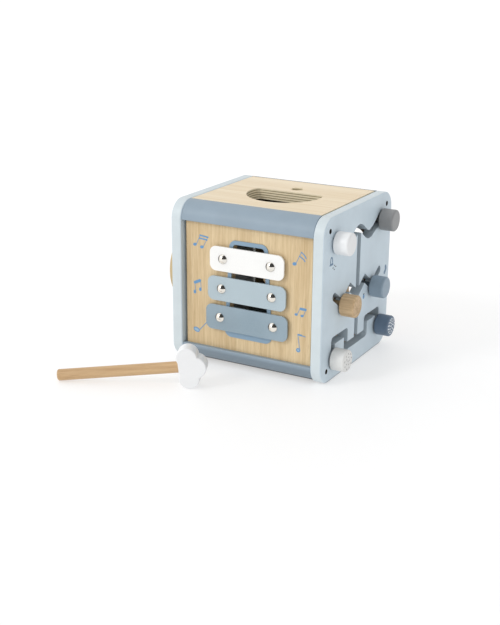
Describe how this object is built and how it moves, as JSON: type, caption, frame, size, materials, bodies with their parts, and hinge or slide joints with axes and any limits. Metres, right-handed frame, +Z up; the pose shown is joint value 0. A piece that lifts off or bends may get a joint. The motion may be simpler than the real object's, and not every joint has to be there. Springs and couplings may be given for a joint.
{
  "type": "baby activity cube",
  "caption": "Wooden activity cube with a bar xylophone, a track board with sliding knobs that turn, a carrying hole, a turning wheel and a loose cloud-headed mallet.",
  "frame": {"origin": "centre of the cube's flat underside, on the bottom panel", "axes": "+X out of the track board with the knobs, -Y out of the xylophone, +Z up"},
  "size_m": [0.2675, 0.2967, 0.1775],
  "materials": {
    "panel_paint": "matt pale blue paint",
    "rail_paint": "matt grey-blue paint",
    "front_wood": "clear matt lacquer",
    "top_wood": "clear matt lacquer on plywood",
    "white_bar_paint": "satin white enamel",
    "light_blue_bar_paint": "satin light blue enamel",
    "mid_blue_bar_paint": "satin grey-blue enamel",
    "trim_blue": "matt blue",
    "white_paint": "matt white paint",
    "grey_paint": "matt grey paint",
    "knob_wood": "oiled",
    "slate_paint": "matt slate blue paint",
    "cream_paint": "matt off-white paint",
    "navy_paint": "matt navy-grey paint",
    "chrome": "polished",
    "steel": "zinc plated",
    "felt": "dark felt",
    "nylon": "natural nylon",
    "handle_wood": "clear matt lacquer"
  },
  "bodies": {
    "case": {"side_panel_right": "panel_paint", "side_panel_left": "panel_paint", "rail_front_top": "rail_paint", "rail_front_bottom": "rail_paint", "rail_back_top": "rail_paint", "rail_back_bottom": "rail_paint", "top_panel": "top_wood", "bottom_panel": "top_wood", "front_panel": "front_wood", "back_panel": "front_wood", "sound_hole_frame": "trim_blue", "case_screw_right_front_bottom": "steel", "case_screw_right_front_top": "steel", "case_screw_right_back_bottom": "steel", "case_screw_right_back_top": "steel", "case_screw_left_front_bottom": "steel", "case_screw_left_front_top": "steel", "case_screw_left_back_bottom": "steel", "case_screw_left_back_top": "steel", "bar_white": "white_bar_paint", "bar_light_blue": "light_blue_bar_paint", "bar_mid_blue": "mid_blue_bar_paint", "bar_screw_white_left": "chrome", "bar_screw_white_right": "chrome", "bar_screw_light_blue_left": "chrome", "bar_screw_light_blue_right": "chrome", "bar_screw_mid_blue_left": "chrome", "bar_screw_mid_blue_right": "chrome", "felt_washer_white_left": "felt", "felt_washer_white_right": "felt", "felt_washer_light_blue_left": "felt", "felt_washer_light_blue_right": "felt", "felt_washer_mid_blue_left": "felt", "felt_washer_mid_blue_right": "felt", "wheel_spacer": "nylon", "axle_bolt": "steel", "axle_nut": "steel"},
    "wheel": {"wheel": "knob_wood"},
    "runner_white": {"retaining_disc_white": "nylon"},
    "knob_white": {"knob_white": "white_paint", "knob_screw_white": "steel"},
    "runner_grey": {"retaining_disc_grey": "nylon"},
    "knob_grey": {"knob_grey": "grey_paint", "knob_screw_grey": "steel"},
    "runner_wood": {"retaining_disc_wood": "nylon"},
    "knob_wood": {"knob_wood": "knob_wood", "knob_screw_wood": "steel"},
    "runner_blue": {"retaining_disc_blue": "nylon"},
    "knob_blue": {"knob_blue": "slate_paint", "knob_screw_blue": "steel"},
    "runner_cream": {"retaining_disc_cream": "nylon"},
    "knob_cream": {"knob_cream": "cream_paint", "knob_screw_cream": "steel"},
    "runner_navy": {"retaining_disc_navy": "nylon"},
    "knob_navy": {"knob_navy": "navy_paint", "knob_screw_navy": "steel"},
    "mallet": {"mallet_handle": "handle_wood", "mallet_head": "white_paint"}
  },
  "joints": [
    {"name": "wheel_turn", "type": "hinge", "parent": "case", "child": "wheel", "pos_m": [-0.1075, 0, 0.0835], "axis": [1, 0, 0], "continuous": true},
    {"name": "slide_white", "type": "slide", "parent": "case", "child": "runner_white", "axis": [0, 0.949, -0.3153], "range_m": [0, 0.032]},
    {"name": "turn_white", "type": "hinge", "parent": "runner_white", "child": "knob_white", "pos_m": [0.0915, -0.058, 0.1493], "axis": [1, 0, 0], "continuous": true},
    {"name": "slide_grey", "type": "slide", "parent": "case", "child": "runner_grey", "axis": [0, -0.949, -0.3153], "range_m": [0, 0.032]},
    {"name": "turn_grey", "type": "hinge", "parent": "runner_grey", "child": "knob_grey", "pos_m": [0.0915, 0.058, 0.1493], "axis": [1, 0, 0], "continuous": true},
    {"name": "slide_wood", "type": "slide", "parent": "case", "child": "runner_wood", "axis": [0, 0.8367, 0.5477], "range_m": [0, 0.0225]},
    {"name": "turn_wood", "type": "hinge", "parent": "runner_wood", "child": "knob_wood", "pos_m": [0.0915, -0.0387, 0.078], "axis": [1, 0, 0], "continuous": true},
    {"name": "slide_blue", "type": "slide", "parent": "case", "child": "runner_blue", "axis": [0, -0.8367, 0.5477], "range_m": [0, 0.0225]},
    {"name": "turn_blue", "type": "hinge", "parent": "runner_blue", "child": "knob_blue", "pos_m": [0.0915, 0.0387, 0.078], "axis": [1, 0, 0], "continuous": true},
    {"name": "slide_cream", "type": "slide", "parent": "case", "child": "runner_cream", "axis": [0, 0, 1], "range_m": [0, 0.019]},
    {"name": "turn_cream", "type": "hinge", "parent": "runner_cream", "child": "knob_cream", "pos_m": [0.0915, -0.058, 0.024], "axis": [1, 0, 0], "continuous": true},
    {"name": "slide_navy", "type": "slide", "parent": "case", "child": "runner_navy", "axis": [0, 0, 1], "range_m": [0, 0.0156]},
    {"name": "turn_navy", "type": "hinge", "parent": "runner_navy", "child": "knob_navy", "pos_m": [0.0915, 0.0585, 0.0274], "axis": [1, 0, 0], "continuous": true},
    {"name": "mallet_lift", "type": "slide", "parent": "case", "child": "mallet", "axis": [0, 0, 1], "range_m": [0, 0.12]}
  ]
}
